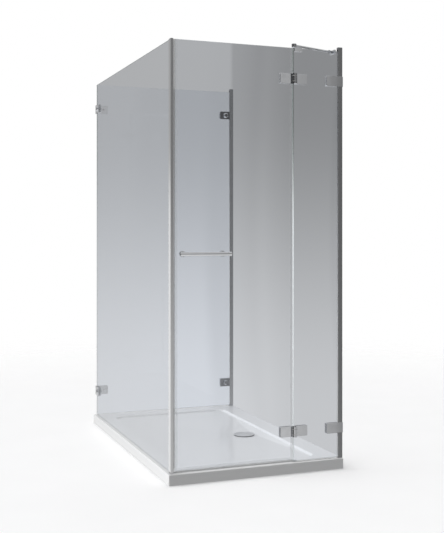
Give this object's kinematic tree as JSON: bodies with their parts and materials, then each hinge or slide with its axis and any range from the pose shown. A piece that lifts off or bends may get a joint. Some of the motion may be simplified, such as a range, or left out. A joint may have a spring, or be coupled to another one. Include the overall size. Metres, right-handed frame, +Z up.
{
  "type": "shower enclosure",
  "caption": "Frameless three-sided glass shower enclosure on a low tray, set against one wall, with an outward hinged door, a fixed front pane and chrome fittings.",
  "frame": {"origin": "centre of the tray's underside", "axes": "+X towards the wall, +Y from the door towards the rear pane, +Z up"},
  "size_m": [0.9, 1.543, 2.0725],
  "materials": {
    "tray_white": "gloss",
    "clear_glass": "polished",
    "anodised": "bright anodised",
    "chrome": "polished",
    "stainless": "satin",
    "seal_clear": "translucent",
    "magnet_grey": "satin",
    "rubber_grey": "matte",
    "nylon": "satin"
  },
  "bodies": {
    "cabin": {"brace_bar": "chrome", "brace_clamp": "chrome", "brace_clamp_pad": "rubber_grey", "brace_wall_plate": "chrome", "bracket_domes": "chrome", "bracket_pads": "rubber_grey", "bracket_screws": "stainless", "corner_glazing_gasket": "rubber_grey", "corner_magnet_strip": "magnet_grey", "corner_profile_cap": "chrome", "corner_strike_profile": "anodised", "fixed_panel_foot_seal": "seal_clear", "fixed_panel_glass": "clear_glass", "front_wall_profile": "anodised", "hinge_fixed_clamps": "chrome", "hinge_fixed_pads": "rubber_grey", "hinge_fixed_screws": "stainless", "hinge_pins": "stainless", "lower_corner_bracket": "chrome", "lower_corner_bracket_clamp": "chrome", "lower_front_bracket_clamp": "chrome", "lower_front_wall_bracket": "chrome", "lower_hinge_fixed_leaf": "chrome", "lower_rear_bracket_clamp": "chrome", "lower_rear_wall_bracket": "chrome", "rear_corner_seal": "seal_clear", "rear_panel_foot_seal": "seal_clear", "rear_panel_glass": "clear_glass", "rear_wall_profile": "anodised", "shower_tray": "tray_white", "side_panel_foot_seal": "seal_clear", "side_panel_glass": "clear_glass", "threshold_strip": "anodised", "upper_corner_bracket": "chrome", "upper_corner_bracket_clamp": "chrome", "upper_front_bracket_clamp": "chrome", "upper_front_wall_bracket": "chrome", "upper_hinge_fixed_leaf": "chrome", "upper_rear_bracket_clamp": "chrome", "upper_rear_wall_bracket": "chrome", "wall_profile_caps": "chrome", "wall_profile_gaskets": "rubber_grey", "waste_flange": "stainless", "waste_seal": "rubber_grey"},
    "door": {"door_glass": "clear_glass", "door_magnet_seal": "magnet_grey", "door_hinge_seal": "seal_clear", "door_bottom_seal": "seal_clear", "upper_hinge_door_leaf": "chrome", "lower_hinge_door_leaf": "chrome", "hinge_door_clamps": "chrome", "hinge_door_pads": "rubber_grey", "hinge_door_screws": "stainless", "hinge_washers": "nylon", "handle_bar": "chrome", "handle_posts": "chrome", "handle_washers": "seal_clear", "handle_inner_caps": "chrome"},
    "cover": {"drain_cover": "chrome"}
  },
  "joints": [
    {"name": "door_hinge", "type": "hinge", "parent": "cabin", "child": "door", "pos_m": [0.185, -0.749, 1.05], "axis": [0, 0, 1], "range_deg": [0, 100]},
    {"name": "cover_lift", "type": "slide", "parent": "cabin", "child": "cover", "axis": [0, 0, 1], "range_m": [0, 0.06]}
  ]
}
